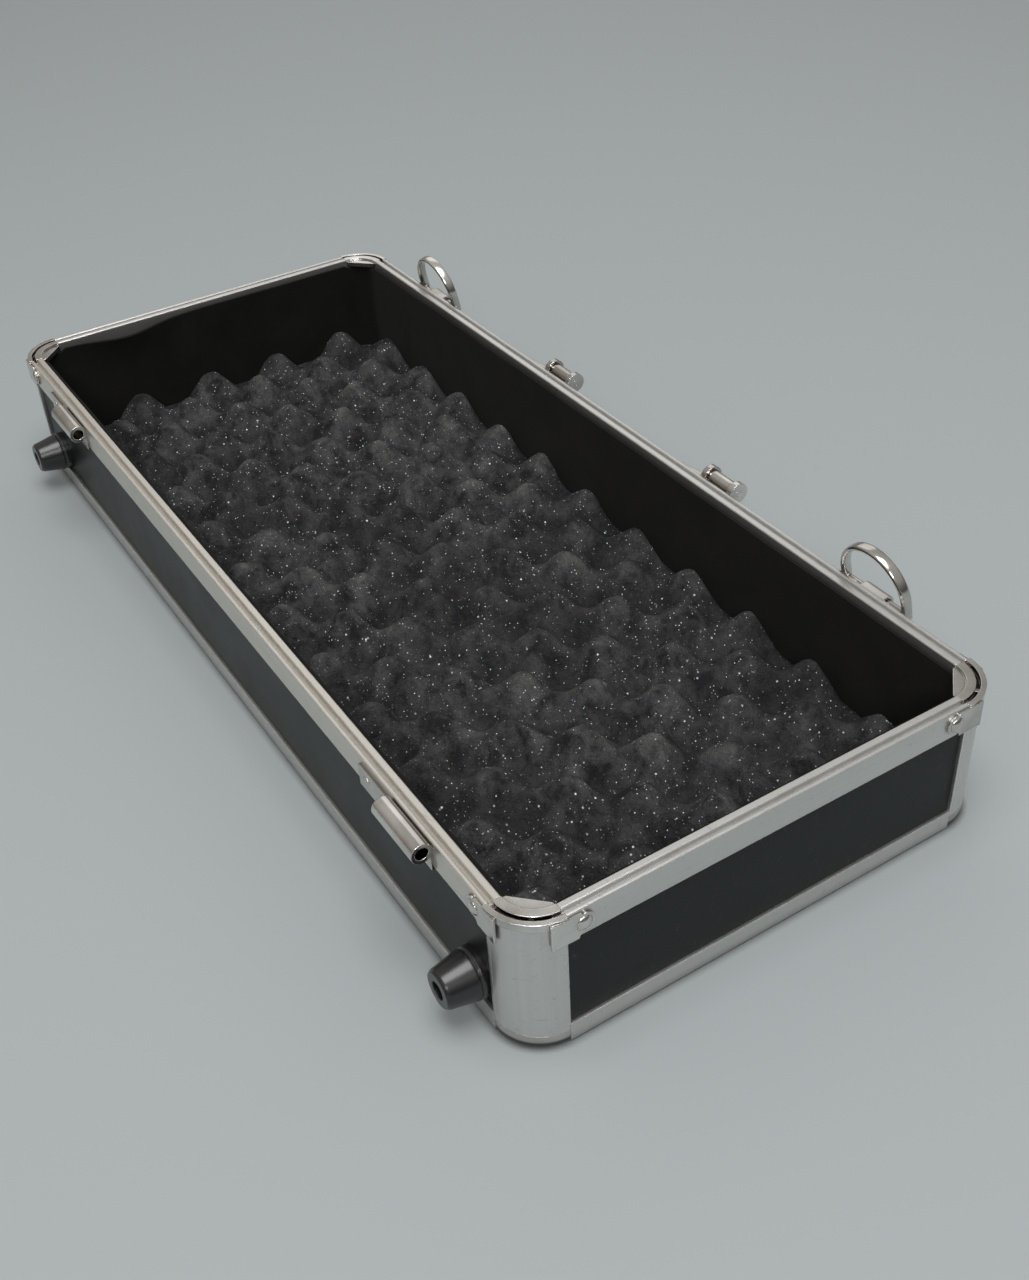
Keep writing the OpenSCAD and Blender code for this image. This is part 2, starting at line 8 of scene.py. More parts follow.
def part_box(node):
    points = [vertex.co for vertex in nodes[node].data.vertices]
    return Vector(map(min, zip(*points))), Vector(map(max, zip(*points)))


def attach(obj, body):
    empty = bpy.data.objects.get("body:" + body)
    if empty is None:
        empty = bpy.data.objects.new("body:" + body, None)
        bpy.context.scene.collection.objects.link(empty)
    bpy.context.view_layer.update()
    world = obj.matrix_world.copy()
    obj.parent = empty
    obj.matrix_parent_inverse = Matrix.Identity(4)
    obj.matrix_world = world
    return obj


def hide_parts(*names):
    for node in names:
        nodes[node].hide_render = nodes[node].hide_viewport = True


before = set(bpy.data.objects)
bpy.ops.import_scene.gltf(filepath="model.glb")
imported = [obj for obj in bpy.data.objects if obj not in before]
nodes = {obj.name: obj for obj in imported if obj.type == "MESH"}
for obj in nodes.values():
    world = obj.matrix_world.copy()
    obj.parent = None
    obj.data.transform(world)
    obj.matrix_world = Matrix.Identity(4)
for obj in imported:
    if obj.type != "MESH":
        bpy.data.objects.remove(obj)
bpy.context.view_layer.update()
bpy.ops.object.select_all(action="DESELECT")


# The room: the case stands open on a plain pale grey floor and is seen from above its left back
# corner. The air is a little warm, as from cream walls, and three wide lamps give soft light.
camera_data = bpy.data.cameras.new("camera")
camera_data.sensor_width = 36
camera_data.lens = 41.367
camera_data.shift_x = -0.0081
camera_data.shift_y = -0.0006
camera_data.clip_start = 0.01
camera = bpy.data.objects.new("camera", camera_data)
bpy.context.scene.collection.objects.link(camera)
camera.location = (-0.51186, 0.25240, 0.41473)
camera.rotation_euler = Euler([math.radians(angle) for angle in (52.0235, 2.4922, -122.5933)])
bpy.context.scene.camera = camera
bpy.context.scene.view_settings.view_transform = "Standard"


def new_material(name):
    """A material with its node tree, a function that adds a node, and its Principled shader."""
    material = bpy.data.materials.new(name)
    material.use_nodes = True
    tree = material.node_tree
    return material, tree, node_maker(tree), tree.nodes["Principled BSDF"]


def node_maker(tree):
    """A function that adds a node to the tree and links or sets its inputs and properties."""
    def add(kind, links=None, **settings):
        made = tree.nodes.new("ShaderNode" + kind)
        for key, value in settings.items():
            setattr(made, key, value)
        for socket, value in (links or {}).items():
            target = made.inputs[socket]
            if isinstance(value, bpy.types.NodeSocket):
                tree.links.new(value, target)
            else:
                target.default_value = value
        return made
    return add


floor_material, tree, add, shader = new_material("room_floor")
shader.inputs["Roughness"].default_value = 0.9
shader.inputs["Specular IOR Level"].default_value = 0.1
cloudy = add("TexNoise", {"Scale": 3.0, "Detail": 3.0})
tint = add("MixRGB", {"Fac": cloudy.outputs["Fac"], "Color1": (0.350, 0.382, 0.392, 1),
                      "Color2": (0.392, 0.425, 0.430, 1)})
# Painted contact shadow: the floor is darkened right beside what stands on it
contact_occlusion = add("AmbientOcclusion", {"Distance": 0.0035}, samples=4)
dull = add("MapRange", {"Value": contact_occlusion.outputs["AO"], "From Min": 0.88, "From Max": 0.52})
contact_shadowed_tint = add("MixRGB", {"Fac": dull.outputs["Result"], "Color1": tint.outputs[0],
                             "Color2": (0.110, 0.120, 0.120, 1)})
tree.links.new(contact_shadowed_tint.outputs[0], shader.inputs["Base Color"])
bpy.ops.mesh.primitive_plane_add(size=1, location=(0, 0, 0))
room_floor = bpy.context.active_object
room_floor.name = "room_floor"
room_floor.scale = (12, 12, 1)
room_floor.data.materials.append(floor_material)
bpy.ops.object.select_all(action="DESELECT")

world = bpy.data.worlds.new("room_air")
world.use_nodes = True
add = node_maker(world.node_tree)
direction = add("TexCoord")
axes = add("SeparateXYZ", {"Vector": direction.outputs["Generated"]})
upward = add("MapRange", {"Value": axes.outputs["Z"], "From Min": -0.05, "From Max": 0.75},
             interpolation_type="SMOOTHSTEP")
# Low down, the room is light past the case's right end and back, and dark on the opposite side
sideways = add("VectorMath", {0: direction.outputs["Generated"], 1: (0.80, 0.60, 0.0)},
               operation="DOT_PRODUCT")
lighter = add("MapRange", {"Value": sideways.outputs["Value"], "From Min": -0.9, "From Max": 0.7},
              interpolation_type="SMOOTHSTEP")
near_floor = add("MixRGB", {"Fac": lighter.outputs["Result"], "Color1": (0.11, 0.105, 0.10, 1),
                            "Color2": (0.50, 0.435, 0.350, 1)})
air = add("MixRGB", {"Fac": upward.outputs["Result"], "Color1": near_floor.outputs[0],
                     "Color2": (1.0, 0.975, 0.94, 1)})
world.node_tree.links.new(air.outputs[0], world.node_tree.nodes["Background"].inputs["Color"])
world.node_tree.nodes["Background"].inputs["Strength"].default_value = 0.46
bpy.context.scene.world = world
for name, place, size, power in (
    ("ceiling_lamp", (-0.35, 0.15, 1.9), 1.3, 21),
    ("window_light", (-1.5, 0.9, 1.3), 0.6, 12),
    ("far_glow", (1.5, -0.9, 1.1), 1.5, 3),
):
    lamp = bpy.data.lights.new(name, "AREA")
    lamp.shape = "DISK"
    lamp.size = size
    lamp.energy = power
    holder = bpy.data.objects.new(name, lamp)
    bpy.context.scene.collection.objects.link(holder)
    holder.location = place
    holder.rotation_euler = (-Vector(place)).to_track_quat("-Z", "Y").to_euler()


# Side boards and floor board: thin plywood covered with a black laminate that has a fine pebbled
# skin. The boards stand in the aluminium channels, and their faces show between them.
def new_group(name, inputs, outputs):
    """An empty shader group, with its inputs and outputs given as (name, kind, default)."""
    group = bpy.data.node_groups.new(name, "ShaderNodeTree")
    for socket, kind, default in inputs:
        made = group.interface.new_socket(socket, in_out="INPUT", socket_type="NodeSocket" + kind)
        made.default_value = default
    for socket, kind in outputs:
        group.interface.new_socket(socket, in_out="OUTPUT", socket_type="NodeSocket" + kind)
    start, end = group.nodes.new("NodeGroupInput"), group.nodes.new("NodeGroupOutput")
    return group, node_maker(group), start, end


# Rounds the light along a piece's edges and gives a mask of where they are
worn_edges, add, start, end = new_group(
    "worn_edges", [("Radius", "Float", 0.0005), ("Patchiness", "Float", 220.0)],
    [("Mask", "Float"), ("Normal", "Vector")])
soft = add("Bevel", {"Radius": start.outputs["Radius"]}, samples=4)
plain = add("NewGeometry")
alike = add("VectorMath", {0: soft.outputs["Normal"], 1: plain.outputs["Normal"]},
            operation="DOT_PRODUCT")
edge = add("MapRange", {"Value": alike.outputs["Value"], "From Min": 0.995, "From Max": 0.90})
place = add("TexCoord")
patches = add("TexNoise", {"Vector": place.outputs["Object"], "Scale": start.outputs["Patchiness"],
                           "Detail": 3.0, "Roughness": 0.6})
some = add("MapRange", {"Value": patches.outputs["Fac"], "From Min": 0.34, "From Max": 0.54})
mask = add("Math", {0: edge.outputs["Result"], 1: some.outputs["Result"]}, operation="MULTIPLY")
worn_edges.links.new(mask.outputs[0], end.inputs["Mask"])
worn_edges.links.new(soft.outputs["Normal"], end.inputs["Normal"])

# Long shallow scratches and rubbed places, as handling leaves them
handling, add, start, end = new_group(
    "handling", [("Scale", "Float", 60.0), ("Stretch", "Vector", (1.0, 8.0, 1.0))],
    [("Scratches", "Float"), ("Smudges", "Float")])
place = add("TexCoord")
drawn = add("Mapping", {"Vector": place.outputs["Object"], "Scale": start.outputs["Stretch"],
                        "Rotation": (0.3, 0.2, 0.5)})
lines = add("TexNoise", {"Vector": drawn.outputs[0], "Scale": start.outputs["Scale"], "Detail": 5.0,
                         "Roughness": 0.75, "Distortion": 1.4})
narrow = add("MapRange", {"Value": lines.outputs["Fac"], "From Min": 0.60, "From Max": 0.72})
clouds = add("TexNoise", {"Vector": place.outputs["Object"], "Scale": 28.0, "Detail": 4.0,
                          "Roughness": 0.55})
handling.links.new(narrow.outputs["Result"], end.inputs["Scratches"])
handling.links.new(clouds.outputs["Fac"], end.inputs["Smudges"])


def use_group(add, group, **values):
    """A shader group's node in a material, with its inputs set."""
    return add("Group", values, node_tree=group)


def dress(material, *names):
    """Gives CAD nodes a material in every one of their slots."""
    for name in names:
        for place in nodes[name].material_slots:
            place.material = material


laminate, tree, add, shader = new_material("black_laminate")
place = add("TexCoord")
marks = use_group(add, handling, Scale=45.0, Stretch=(1.0, 6.0, 2.0))
edges = use_group(add, worn_edges, Radius=0.0008)
pebbles = add("TexVoronoi", {"Vector": place.outputs["Object"], "Scale": 1500.0, "Smoothness": 0.6},
              feature="SMOOTH_F1")
tone = add("MixRGB", {"Fac": marks.outputs["Smudges"], "Color1": (0.0048, 0.0066, 0.0065, 1),
                      "Color2": (0.0085, 0.0108, 0.0105, 1)})
rubbed = add("MixRGB", {"Fac": marks.outputs["Scratches"], "Color1": tone.outputs[0],
                        "Color2": (0.028, 0.030, 0.030, 1)})
gloss = add("MapRange", {"Value": marks.outputs["Smudges"], "To Min": 0.30, "To Max": 0.46})
shader.inputs["Specular IOR Level"].default_value = 0.22
skin = add("Bump", {"Height": pebbles.outputs["Distance"], "Strength": 0.35, "Distance": 0.00012,
                    "Normal": edges.outputs["Normal"]})
tree.links.new(rubbed.outputs[0], shader.inputs["Base Color"])
tree.links.new(gloss.outputs["Result"], shader.inputs["Roughness"])
tree.links.new(skin.outputs["Normal"], shader.inputs["Normal"])
dress(laminate, "panel_front", "panel_back", "panel_left", "panel_right", "floor_board")


# Rim, bottom edges and upright corners: natural anodised aluminium extrusions. The die leaves
# fine lines along each length, and knocks on the edges show brighter metal.
drawn_metal, add, start, end = new_group(
    "drawn_metal", [("Lines", "Vector", (1.0, 60.0, 60.0))],
    [("Height", "Float"), ("Tone", "Float")])
place = add("TexCoord")
along = add("Mapping", {"Vector": place.outputs["Object"], "Scale": start.outputs["Lines"]})
fine = add("TexNoise", {"Vector": along.outputs[0], "Scale": 40.0, "Detail": 4.0, "Roughness": 0.7})
broad = add("TexNoise", {"Vector": along.outputs[0], "Scale": 7.0, "Detail": 2.0})
drawn_metal.links.new(fine.outputs["Fac"], end.inputs["Height"])
drawn_metal.links.new(broad.outputs["Fac"], end.inputs["Tone"])


def aluminium(name, lines, dark=(0.60, 0.595, 0.58, 1), light=(0.69, 0.685, 0.67, 1)):
    """Aluminium with die lines along the axis where lines is 1, and tones from dark to light."""
    material, tree, add, shader = new_material(name)
    drawn = use_group(add, drawn_metal, Lines=lines)
    marks = use_group(add, handling, Scale=70.0, Stretch=(1.0, 3.0, 5.0))
    edges = use_group(add, worn_edges, Radius=0.0007, Patchiness=160.0)
    tone = add("MixRGB", {"Fac": drawn.outputs["Tone"], "Color1": dark, "Color2": light})
    dull = add("MixRGB", {"Fac": marks.outputs["Scratches"], "Color1": tone.outputs[0],
                          "Color2": (0.47, 0.465, 0.45, 1)})
    bright = add("MixRGB", {"Fac": edges.outputs["Mask"], "Color1": dull.outputs[0],
                            "Color2": (0.96, 0.955, 0.94, 1)})
    gloss = add("MapRange", {"Value": marks.outputs["Smudges"], "To Min": 0.26, "To Max": 0.44})
    rubbed = add("Math", {0: edges.outputs["Mask"], 1: -0.10, 2: gloss.outputs["Result"]},
                 operation="MULTIPLY_ADD")
    skin = add("Bump", {"Height": drawn.outputs["Height"], "Strength": 0.10, "Distance": 0.00005,
                        "Normal": edges.outputs["Normal"]})
    shader.inputs["Metallic"].default_value = 0.92
    tree.links.new(bright.outputs[0], shader.inputs["Base Color"])
    tree.links.new(rubbed.outputs[0], shader.inputs["Roughness"])
    tree.links.new(skin.outputs["Normal"], shader.inputs["Normal"])
    return material


dress(aluminium("aluminium_along_x", (1.0, 60.0, 60.0)),
      "rim_front", "bottom_edge_front", "bottom_edge_back")
# The back rim is tinted warm: a painted reflection of the warm walls
dress(aluminium("aluminium_painted_warm_reflection", (1.0, 60.0, 60.0), dark=(0.65, 0.62, 0.565, 1),
                light=(0.74, 0.71, 0.655, 1)),
      "rim_back")
dress(aluminium("aluminium_along_y", (60.0, 1.0, 60.0)),
      "rim_left", "rim_right", "bottom_edge_left", "bottom_edge_right")
dress(aluminium("aluminium_upright", (60.0, 60.0, 1.0)),
      "corner_post_front_left", "corner_post_front_right", "corner_post_back_left",
      "corner_post_back_right")


# Pressed corners, caps, hinges, latches, rings and rivets: thin steel sheet, polished and nickel
# plated. Handling leaves it slightly clouded, with brighter edges, and the corners carry painted
# shade.
nickel, tree, add, shader = new_material("nickel_plate")
marks = use_group(add, handling, Scale=120.0, Stretch=(2.0, 5.0, 1.0))
edges = use_group(add, worn_edges, Radius=0.0005, Patchiness=260.0)
clouded = add("MapRange", {"Value": marks.outputs["Smudges"], "From Min": 0.40, "From Max": 0.62})
tone = add("MixRGB", {"Fac": clouded.outputs["Result"], "Color1": (0.46, 0.445, 0.415, 1),
                      "Color2": (0.75, 0.735, 0.705, 1)})
# Painted shade: the plating is darker in corners and recesses, where the ambient occlusion is low
recess_occlusion = add("AmbientOcclusion", {"Distance": 0.006}, samples=6)
painted_recess_shade = add("MapRange", {"Value": recess_occlusion.outputs["AO"], "From Min": 0.95, "From Max": 0.45})
dull = add("MixRGB", {"Fac": painted_recess_shade.outputs["Result"], "Color1": tone.outputs[0],
                      "Color2": (0.30, 0.275, 0.25, 1)})
bright = add("MixRGB", {"Fac": edges.outputs["Mask"], "Color1": dull.outputs[0],
                        "Color2": (0.92, 0.915, 0.90, 1)})
cloud = add("MapRange", {"Value": marks.outputs["Smudges"], "From Min": 0.3, "From Max": 0.7,
                         "To Min": 0.09, "To Max": 0.22})
rough = add("Math", {0: marks.outputs["Scratches"], 1: 0.18, 2: cloud.outputs["Result"]},
            operation="MULTIPLY_ADD")
dents = add("Bump", {"Height": marks.outputs["Smudges"], "Strength": 0.4, "Distance": 0.0002,
                     "Normal": edges.outputs["Normal"]})
shader.inputs["Metallic"].default_value = 1.0
tree.links.new(bright.outputs[0], shader.inputs["Base Color"])
tree.links.new(rough.outputs[0], shader.inputs["Roughness"])
tree.links.new(dents.outputs["Normal"], shader.inputs["Normal"])
dress(nickel, *[name for name in nodes if name.startswith((
    "rim_corner", "bottom_cap", "hinge_half", "latch_", "ring_bracket", "strap_ring",
    "foot_screws", "corner_rivets", "hinge_rivets", "bracket_rivets"))])


# Strap rings: each is bent from steel strip with rounded edges, its straight bar riveted through
# the ends of the bow, and nickel plated. It swings in the arch of its bracket.
ring_low, ring_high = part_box("strap_ring_left")
ring_pivot = Vector(((ring_low.x + ring_high.x) / 2, -0.1127, 0.0570))
ring_radius = (ring_high.x - ring_low.x) / 2
ring_lean = math.radians(12)
ring_rise = 0.025
ring_bar_radius = 0.0016
strip_width, strip_thickness = 0.0048, 0.0023
strip_side_power, strip_face_power = 0.75, 0.55
bow_radius = ring_radius - strip_thickness / 2
leg = ring_rise - ring_radius

# The strip's rounded section goes up one leg, round the bow and down the other leg
bpy.ops.mesh.primitive_circle_add(vertices=24, radius=0.5, location=(0, 0, 0))
strap_ring = bpy.context.active_object
strap_ring.name = "left_strap_ring"
bpy.ops.object.mode_set(mode="EDIT")
mesh = bmesh.from_edit_mesh(strap_ring.data)
for point in mesh.verts:
    across, through = point.co.x * 2, point.co.y * 2
    thick = math.copysign(abs(through) ** strip_side_power, through) * strip_thickness / 2
    wide = math.copysign(abs(across) ** strip_face_power, across) * strip_width / 2
    point.co = Vector((bow_radius + thick, wide, -ring_bar_radius))
bmesh.update_edit_mesh(strap_ring.data)
bpy.ops.mesh.select_all(action="SELECT")
bpy.ops.mesh.extrude_region_move(TRANSFORM_OT_translate={"value": (0, 0, leg + ring_bar_radius)})
bpy.ops.mesh.spin(steps=48, angle=math.pi, center=(0, 0, leg), axis=(0, 1, 0))
bpy.ops.mesh.extrude_region_move(TRANSFORM_OT_translate={"value": (0, 0, -leg - ring_bar_radius)})
bpy.ops.mesh.select_mode(type="EDGE")
bpy.ops.mesh.select_all(action="DESELECT")
bpy.ops.mesh.select_non_manifold()
bpy.ops.mesh.fill_holes(sides=0)
bpy.ops.mesh.select_all(action="DESELECT")
bpy.ops.mesh.select_mode(type="VERT")
bpy.ops.mesh.primitive_cylinder_add(vertices=24, radius=ring_bar_radius, depth=2 * ring_radius,
                                    location=(0, 0, 0), rotation=(0, math.pi / 2, 0))
bpy.ops.mesh.select_all(action="SELECT")
bpy.ops.mesh.normals_make_consistent(inside=False)
bpy.ops.object.mode_set(mode="OBJECT")
strap_ring.rotation_euler = (-ring_lean, 0, 0)
strap_ring.location = ring_pivot
bpy.ops.object.transform_apply(location=True, rotation=True, scale=True)
bpy.ops.object.shade_smooth_by_angle(angle=math.radians(50))
strap_ring.data.materials.append(nickel)

bpy.ops.object.duplicate()
other_ring = bpy.context.active_object
other_ring.name = "right_strap_ring"
other_ring.location = (-2 * ring_pivot.x, 0, 0)
bpy.ops.object.transform_apply(location=True, rotation=False, scale=False)
for ring, side in ((strap_ring, "left"), (other_ring, "right")):
    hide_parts("strap_ring_" + side)
    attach(ring, side + "_ring")
bpy.ops.object.select_all(action="DESELECT")


# Feet: moulded black rubber cones, screwed to the back board through a hollow in the tip.
rubber, tree, add, shader = new_material("black_rubber")
place = add("TexCoord")
marks = use_group(add, handling, Scale=90.0, Stretch=(1.0, 2.0, 1.0))
edges = use_group(add, worn_edges, Radius=0.0009)
grain = add("TexNoise", {"Vector": place.outputs["Object"], "Scale": 2400.0, "Detail": 2.0})
tone = add("MixRGB", {"Fac": marks.outputs["Smudges"], "Color1": (0.0050, 0.0050, 0.0055, 1),
                      "Color2": (0.0110, 0.0110, 0.0120, 1)})
dusty = add("MixRGB", {"Fac": edges.outputs["Mask"], "Color1": tone.outputs[0],
                       "Color2": (0.035, 0.035, 0.036, 1)})
gloss = add("MapRange", {"Value": marks.outputs["Smudges"], "To Min": 0.22, "To Max": 0.30})
shader.inputs["Specular IOR Level"].default_value = 0.75
skin = add("Bump", {"Height": grain.outputs["Fac"], "Strength": 0.18, "Distance": 0.00008,
                    "Normal": edges.outputs["Normal"]})
tree.links.new(dusty.outputs[0], shader.inputs["Base Color"])
tree.links.new(gloss.outputs["Result"], shader.inputs["Roughness"])
tree.links.new(skin.outputs["Normal"], shader.inputs["Normal"])
dress(rubber, "rubber_foot_left", "rubber_foot_right")


# Lining: one strip of thin black foam with a velvet face, glued round the inside of the boards.
# Its cut top edge waves a little below the rim, and has come loose at the far end.
lining_inner_x = -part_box("lining_left")[1].x
lining_inner_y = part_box("lining_back")[0].y
lining_low, lining_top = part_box("lining_back")[0].z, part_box("lining_back")[1].z
lining_thickness = 0.0012
lining_turn = 0.0113
lining_cut = 0.0004
corner_drop = 0.0016
cut_wave, puff_depth = 0.0005, 0.0009
loose_place, loose_spread, loose_start = 0.052, 0.020, 0.55
loose_depth, loose_sag = 0.0048, 0.0012
straight_x = lining_inner_x - lining_turn
straight_y = lining_inner_y - lining_turn
quarter = math.pi / 2 * lining_turn
lining_round = 4 * (straight_x + straight_y) + 4 * quarter
around_steps, up_steps = 460, 18


def lining_point(distance):
    """The strip's place at a distance along it, the way inward, and whether it turns there."""
    legs = ((2 * straight_x, (-straight_x, lining_inner_y), (1, 0)),
            (quarter, (straight_x, straight_y), 90),
            (2 * straight_y, (lining_inner_x, straight_y), (0, -1)),
            (quarter, (straight_x, -straight_y), 0),
            (2 * straight_x, (straight_x, -lining_inner_y), (-1, 0)),
            (quarter, (-straight_x, -straight_y), -90),
            (2 * straight_y, (-lining_inner_x, -straight_y), (0, 1)),
            (quarter, (-straight_x, straight_y), 180))
    distance %= lining_round
    for length, start, way in legs:
        if distance <= length:
            break
        distance -= length
    if isinstance(way, tuple):
        x, y = start[0] + way[0] * distance, start[1] + way[1] * distance
        return Vector((x, y, 0)), Vector((way[1], -way[0], 0)), False
    angle = math.radians(way) - distance / lining_turn
    out = Vector((math.cos(angle), math.sin(angle), 0))
    return Vector((start[0], start[1], 0)) + out * lining_turn, -out, True


bpy.ops.mesh.primitive_grid_add(x_subdivisions=around_steps, y_subdivisions=up_steps, size=2)
lining = bpy.context.active_object
lining.name = "velvet_lining"
mesh = bmesh.new()
mesh.from_mesh(lining.data)
for point in mesh.verts:
    distance, height = (point.co.x + 1) / 2 * lining_round, (point.co.y + 1) / 2
    where, inward, in_corner = lining_point(distance)
    wave = noise.noise(Vector((distance * 22, 0, 3))) * cut_wave
    top = lining_top - (corner_drop if in_corner else 0) - lining_cut + wave
    z = lining_low + (top - lining_low) * height
    swell = max(0.0, noise.noise(Vector((distance * 14, z * 25, 7))))
    puff = swell * puff_depth * math.sin(math.pi * min(1, height * 1.2) / 1.2)
    if where.x > straight_x:
        loose = math.exp(-((where.y - loose_place) / loose_spread) ** 2)
        loose *= max(0.0, (height - loose_start) / (1 - loose_start)) ** 2
        puff += loose_depth * loose
        z -= loose_sag * loose
    point.co = where + inward * puff
    point.co.z = z
bmesh.ops.remove_doubles(mesh, verts=mesh.verts, dist=1e-6)
bmesh.ops.recalc_face_normals(mesh, faces=mesh.faces)
mesh.to_mesh(lining.data)
mesh.free()
wall = lining.modifiers.new("thickness", "SOLIDIFY")
wall.thickness = lining_thickness
wall.offset = -1
bpy.ops.object.modifier_apply(modifier="thickness")
bpy.ops.object.shade_smooth_by_angle(angle=math.radians(40))

velvet, tree, add, shader = new_material("black_velvet")
place = add("TexCoord")
nap = add("TexNoise", {"Vector": place.outputs["Object"], "Scale": 2600.0, "Detail": 2.0})
stroked = add("TexNoise", {"Vector": place.outputs["Object"], "Scale": 24.0, "Detail": 3.0,
                           "Roughness": 0.6, "Distortion": 0.8})
tone = add("MixRGB", {"Fac": stroked.outputs["Fac"], "Color1": (0.0040, 0.0040, 0.0037, 1),
                      "Color2": (0.0160, 0.0156, 0.0140, 1)})
skin = add("Bump", {"Height": nap.outputs["Fac"], "Strength": 0.5, "Distance": 0.0002})
shader.inputs["Roughness"].default_value = 0.95
shader.inputs["Specular IOR Level"].default_value = 0.12
shader.inputs["Sheen Weight"].default_value = 0.06
shader.inputs["Sheen Roughness"].default_value = 0.4
tree.links.new(tone.outputs[0], shader.inputs["Base Color"])
tree.links.new(skin.outputs["Normal"], shader.inputs["Normal"])
lining.data.materials.append(velvet)
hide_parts("lining_front", "lining_back", "lining_left", "lining_right")
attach(lining, "case")
bpy.ops.object.select_all(action="DESELECT")


# Egg-crate foam: a pad of charcoal polyurethane foam cut into peaks and hollows, laid loose on
# the floor board. Its open cells are uneven, and many of their thin walls carry painted white
# glints; the pores and hollows carry painted shade. At the far end and along the front the cut
# slopes down to a thin edge.
foam_low, foam_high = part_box("egg_crate_foam")
foam_pitch = 0.0412
foam_shift = Vector((-0.0045, -0.0061))
foam_hollow, foam_peak = foam_low.z + 0.007, foam_low.z + 0.025
foam_last_row, foam_front_row = 0.2240, -0.0895
foam_last_slope, foam_front_slope = 0.011, 0.010
foam_cut_edge = foam_low.z + 0.003
foam_drift = 0.0016
foam_cell = 0.0017
foam_turn = lining_turn - 0.0005
edge_press_start, edge_press_width, edge_press = 0.075, 0.015, 0.10
roughness_layers = ((95, 4, 0.0012), (210, 2, 0.0007), (420, 9, 0.0004))
# Without a seed noise_vector follows the clock, and the foam would differ from run to run
noise.seed_set(1)
columns = round((foam_high.x - foam_low.x) / foam_cell)
rows = round((foam_high.y - foam_low.y) / foam_cell)
middle, half = (foam_low + foam_high) / 2, (foam_high - foam_low) / 2
turn_centre = Vector((straight_x, straight_y))


def between(value):
    """The value, kept between 0 and 1."""
    return max(0.0, min(1.0, value))


def foam_height(x, y):
    """Height of the cut surface, with peaks and hollows in a chequered pattern."""
    drift = noise.noise_vector(Vector((x * 18, y * 18, 1))) * foam_drift
    wave = math.cos(2 * math.pi * (x + drift.x - foam_shift.x) / foam_pitch) \
        * math.cos(2 * math.pi * (y + drift.y - foam_shift.y) / foam_pitch)
    rise = (1 + wave) / 2
    rise *= 1 + 0.10 * noise.noise(Vector((x * 30, y * 30, 5)))
    rise *= 1 - edge_press * between((abs(y) - edge_press_start) / edge_press_width)
    rough = sum(noise.noise(Vector((x * scale, y * scale, seed))) * size
                for scale, seed, size in roughness_layers)
    z = min(foam_peak, foam_hollow + (foam_peak - foam_hollow) * rise + rough)
    cut = between(max((x - foam_last_row) / foam_last_slope,
                      (foam_front_row - y) / foam_front_slope))
    return z + (foam_cut_edge - z) * cut * cut * (3 - 2 * cut)


bpy.ops.mesh.primitive_grid_add(x_subdivisions=columns, y_subdivisions=rows, size=2)
foam = bpy.context.active_object
foam.name = "cut_foam"
mesh = bmesh.new()
mesh.from_mesh(foam.data)
for point in mesh.verts:
    x, y = middle.x + point.co.x * half.x, middle.y + point.co.y * half.y
    past = Vector((abs(x) - turn_centre.x, abs(y) - turn_centre.y))
    if past.x > 0 and past.y > 0 and past.length > foam_turn:
        past *= foam_turn / past.length
        x = math.copysign(turn_centre.x + past.x, x)
        y = math.copysign(turn_centre.y + past.y, y)
    point.co = Vector((x, y, foam_height(x, y)))
mesh.to_mesh(foam.data)
mesh.free()
bpy.ops.object.mode_set(mode="EDIT")
bpy.ops.mesh.select_all(action="DESELECT")
bpy.ops.mesh.select_mode(type="EDGE")
bpy.ops.mesh.select_non_manifold()
bpy.ops.mesh.extrude_edges_move(TRANSFORM_OT_translate={"value": (0, 0, foam_low.z - foam_hollow)})
mesh = bmesh.from_edit_mesh(foam.data)
for point in mesh.verts:
    if point.select:
        point.co.z = foam_low.z
bmesh.update_edit_mesh(foam.data)
bpy.ops.mesh.edge_face_add()
bpy.ops.mesh.select_all(action="SELECT")
bpy.ops.mesh.normals_make_consistent(inside=False)
bpy.ops.object.mode_set(mode="OBJECT")
bpy.ops.object.shade_smooth_by_angle(angle=math.radians(60))

cut_foam, tree, add, shader = new_material("charcoal_foam")
place = add("TexCoord")
pores = add("TexVoronoi", {"Vector": place.outputs["Object"], "Scale": 1300.0})
holes = add("MapRange", {"Value": pores.outputs["Distance"], "From Min": 0.05, "From Max": 0.45,
                         "To Min": 0.45})
patchy = add("TexNoise", {"Vector": place.outputs["Object"], "Scale": 85.0, "Detail": 6.0,
                          "Roughness": 0.70, "Distortion": 0.25})
spread = add("MapRange", {"Value": patchy.outputs["Fac"], "From Min": 0.38, "From Max": 0.66})
areas = add("TexNoise", {"Vector": place.outputs["Object"], "Scale": 17.0, "Detail": 2.0})
dusty = add("MapRange", {"Value": areas.outputs["Fac"], "From Min": 0.36, "From Max": 0.62,
                         "To Min": 0.50, "To Max": 1.0})
axes = add("SeparateXYZ", {"Vector": place.outputs["Object"]})
# Painted shade: the pale haze is weaker down in the hollows and strongest on the peaks, so the
# hollows are darker
painted_height_shade = add("MapRange", {"Value": axes.outputs["Z"], "From Min": foam_hollow,
                          "From Max": foam_peak, "To Min": 0.40, "To Max": 1.05})
haze_and_height_shade = add("Math", {0: spread.outputs["Result"], 1: dusty.outputs["Result"]}, operation="MULTIPLY")
haze_and_height_shade = add("Math", {0: haze_and_height_shade.outputs[0], 1: painted_height_shade.outputs["Result"]}, operation="MULTIPLY")
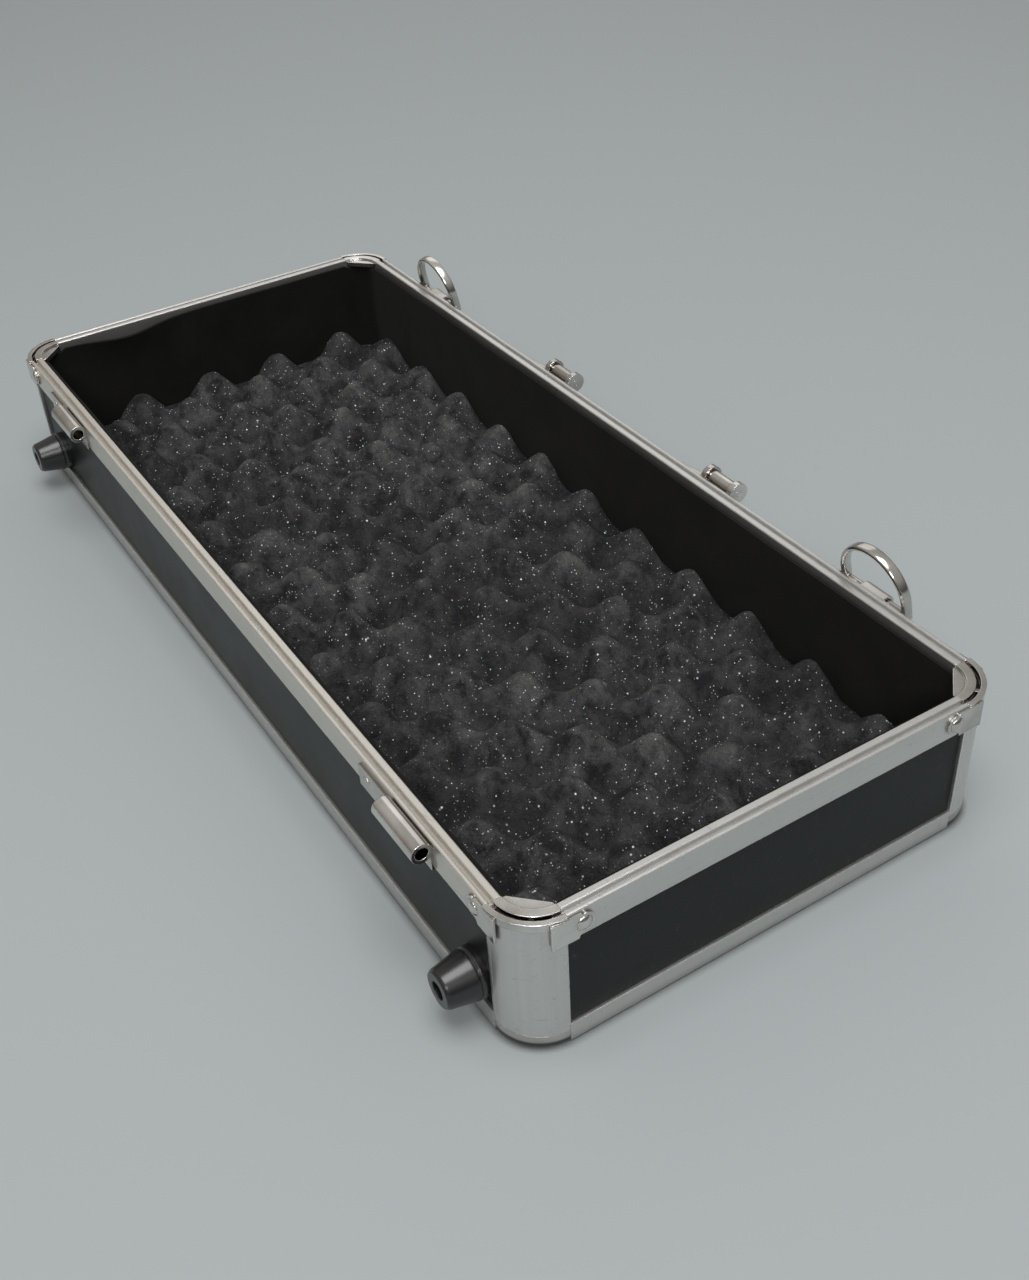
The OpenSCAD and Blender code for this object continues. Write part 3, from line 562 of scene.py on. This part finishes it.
tone = add("MixRGB", {"Fac": haze_and_height_shade.outputs[0], "Color1": (0.0120, 0.0124, 0.0138, 1),
                      "Color2": (0.100, 0.101, 0.099, 1)})
# Painted shade in the open pores: the colour darkens near each pore's centre
shaded_pores = add("MixRGB", {"Fac": holes.outputs["Result"], "Color1": (0.009, 0.0095, 0.011, 1),
                        "Color2": tone.outputs[0]})
# Painted glints: a few cell walls are painted near white, each by its own amount: many fine ones
# and some broad ones
painted_glints = shaded_pores.outputs[0]
for scale, share, width, power in ((980.0, 0.83, 0.34, 2.0), (520.0, 0.95, 0.30, 0.9)):
    cells = add("TexVoronoi", {"Vector": place.outputs["Object"], "Scale": scale})
    luck = add("SeparateColor", {"Color": cells.outputs["Color"]})
    lucky = add("Math", {0: luck.outputs[0], 1: share}, operation="GREATER_THAN")
    dot = add("MapRange", {"Value": cells.outputs["Distance"], "From Min": width, "From Max": 0.12})
    amount = add("Math", {0: luck.outputs[1], 1: power}, operation="POWER")
    spark = add("Math", {0: lucky.outputs[0], 1: dot.outputs["Result"]}, operation="MULTIPLY")
    spark = add("Math", {0: spark.outputs[0], 1: amount.outputs[0]}, operation="MULTIPLY")
    painted_glint = add("MixRGB", {"Fac": spark.outputs[0], "Color1": painted_glints,
                           "Color2": (0.88, 0.93, 0.98, 1)})
    painted_glints = painted_glint.outputs[0]
gloss = add("MapRange", {"Value": spark.outputs[0], "To Min": 0.95, "To Max": 0.30})
torn = add("TexNoise", {"Vector": place.outputs["Object"], "Scale": 230.0, "Detail": 4.0,
                        "Roughness": 0.7})
shaggy = add("Bump", {"Height": torn.outputs["Fac"], "Strength": 0.7, "Distance": 0.0022})
skin = add("Bump", {"Height": pores.outputs["Distance"], "Strength": 0.6, "Distance": 0.0004,
                    "Normal": shaggy.outputs["Normal"]})
shader.inputs["Specular IOR Level"].default_value = 0.25
tree.links.new(painted_glint.outputs[0], shader.inputs["Base Color"])
tree.links.new(gloss.outputs["Result"], shader.inputs["Roughness"])
tree.links.new(skin.outputs["Normal"], shader.inputs["Normal"])
foam.data.materials.append(cut_foam)
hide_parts("egg_crate_foam")
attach(foam, "case")
bpy.ops.object.select_all(action="DESELECT")
